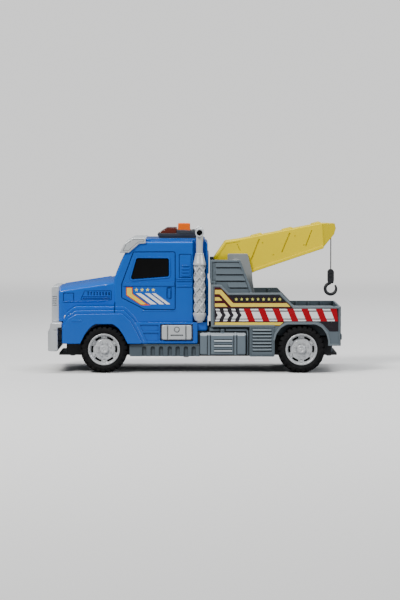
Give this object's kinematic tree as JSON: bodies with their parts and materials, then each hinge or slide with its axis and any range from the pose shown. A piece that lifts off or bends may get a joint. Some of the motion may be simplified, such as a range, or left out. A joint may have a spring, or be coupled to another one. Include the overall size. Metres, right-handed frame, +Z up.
{
  "type": "toy tow truck",
  "caption": "Toy tow truck: long-nose cab with sleeper, exhaust stacks and light bar, low bed, tilting crane boom with a hook on a winch cord, free-rolling wheels.",
  "frame": {"origin": "on the ground under the middle of the truck's bounding box", "axes": "+Z up, -X towards the front bumper, +X towards the tail, -Y the truck's left side"},
  "size_m": [0.3228, 0.1132, 0.1642],
  "materials": {
    "blue_plastic": "injection-moulded ABS, glossy blue",
    "grey_plastic": "injection-moulded ABS, satin blue-grey",
    "mast_plastic": "injection-moulded ABS, satin warm grey",
    "dark_plastic": "injection-moulded ABS, satin charcoal",
    "silver_plastic": "silver-pigmented ABS, satin gloss",
    "yellow_plastic": "injection-moulded ABS, glossy yellow",
    "orange_plastic": "translucent orange push button",
    "window_plastic": "smoked glossy black plastic",
    "amber_lens": "translucent amber-brown polycarbonate",
    "clear_lens": "clear polystyrene",
    "tyre": "soft PVC, matt black",
    "steel": "zinc-plated steel",
    "cord": "braided nylon cord, black",
    "silicone": "translucent silicone rubber",
    "circuit_board": "green solder mask on phenolic board",
    "battery_can": "printed metal cans",
    "speaker_black": "paper cone in pressed frame",
    "wire": "PVC insulated wire",
    "print": "printed glossy vinyl label"
  },
  "bodies": {
    "chassis": {"chassis": "dark_plastic", "side_panel_left": "grey_plastic", "side_panel_right": "grey_plastic", "cab_shell": "blue_plastic", "cab_windows": "window_plastic", "grille": "silver_plastic", "front_bumper": "silver_plastic", "headlights": "clear_lens", "sun_visor": "silver_plastic", "light_bar_base": "dark_plastic", "light_bar_lens": "amber_lens", "button_dome": "silicone", "circuit_board": "circuit_board", "leds": "clear_lens", "exhaust_stack_left": "silver_plastic", "exhaust_stack_right": "silver_plastic", "tool_box_left": "silver_plastic", "tool_box_right": "silver_plastic", "rear_bed": "grey_plastic", "louvre_housing_left": "grey_plastic", "louvre_housing_right": "grey_plastic", "mast_bracket": "mast_plastic", "battery_cover": "dark_plastic", "battery_cover_screw": "steel", "batteries": "battery_can", "battery_contacts": "steel", "speaker": "speaker_black", "power_switch_body": "dark_plastic", "power_wires": "wire", "speaker_wires": "wire", "chassis_screws": "steel", "door_label_left": "print", "door_label_right": "print", "bed_label_left": "print", "bed_label_right": "print"},
    "front_wheels": {"front_axle": "steel", "front_tyre_left": "tyre", "front_tyre_right": "tyre", "front_hub_left": "silver_plastic", "front_hub_right": "silver_plastic"},
    "rear_wheels": {"rear_axle": "steel", "rear_tyre_left": "tyre", "rear_tyre_right": "tyre", "rear_hub_left": "silver_plastic", "rear_hub_right": "silver_plastic"},
    "boom": {"boom": "yellow_plastic", "boom_tip_pin": "steel", "winch_cord": "cord"},
    "winch": {"winch_shaft": "steel", "winch_drum": "dark_plastic", "winch_knob": "dark_plastic"},
    "hook_line": {"hook_cord": "cord"},
    "hook": {"hook": "dark_plastic"},
    "sound_button": {"sound_button": "orange_plastic"},
    "power_switch": {"power_switch_knob": "dark_plastic"}
  },
  "joints": [
    {"name": "front_wheels_spin", "type": "hinge", "parent": "chassis", "child": "front_wheels", "pos_m": [-0.0993, 0, 0.026], "axis": [0, 1, 0], "continuous": true},
    {"name": "rear_wheels_spin", "type": "hinge", "parent": "chassis", "child": "rear_wheels", "pos_m": [0.1179, 0, 0.026], "axis": [0, 1, 0], "continuous": true},
    {"name": "boom_pitch", "type": "hinge", "parent": "chassis", "child": "boom", "pos_m": [0.0459, 0, 0.1188], "axis": [0, -1, 0], "range_deg": [-5, 35]},
    {"name": "winch_turn", "type": "hinge", "parent": "boom", "child": "winch", "pos_m": [0.0459, 0, 0.1188], "axis": [0, -1, 0], "range_deg": [0, 306]},
    {"name": "hook_swing", "type": "hinge", "parent": "boom", "child": "hook_line", "pos_m": [0.151, 0, 0.155], "axis": [0, -1, 0], "range_deg": [-12, 50]},
    {"name": "hook_lift", "type": "slide", "parent": "hook_line", "child": "hook", "axis": [0, 0, 1], "range_m": [0, 0.03], "deforming": ["hook_cord"]},
    {"name": "button_press", "type": "slide", "parent": "chassis", "child": "sound_button", "axis": [0, 0, -1], "range_m": [0, 0.0015], "stiffness_N_per_m": 300, "springref_m": -0.001, "deforming": ["button_dome"]},
    {"name": "switch_slide", "type": "slide", "parent": "chassis", "child": "power_switch", "axis": [1, 0, 0], "range_m": [0, 0.003]}
  ],
  "couplings": [
    {"joint": "hook_lift", "follows": "winch_turn", "m_per_rad": 0.0056}
  ]
}
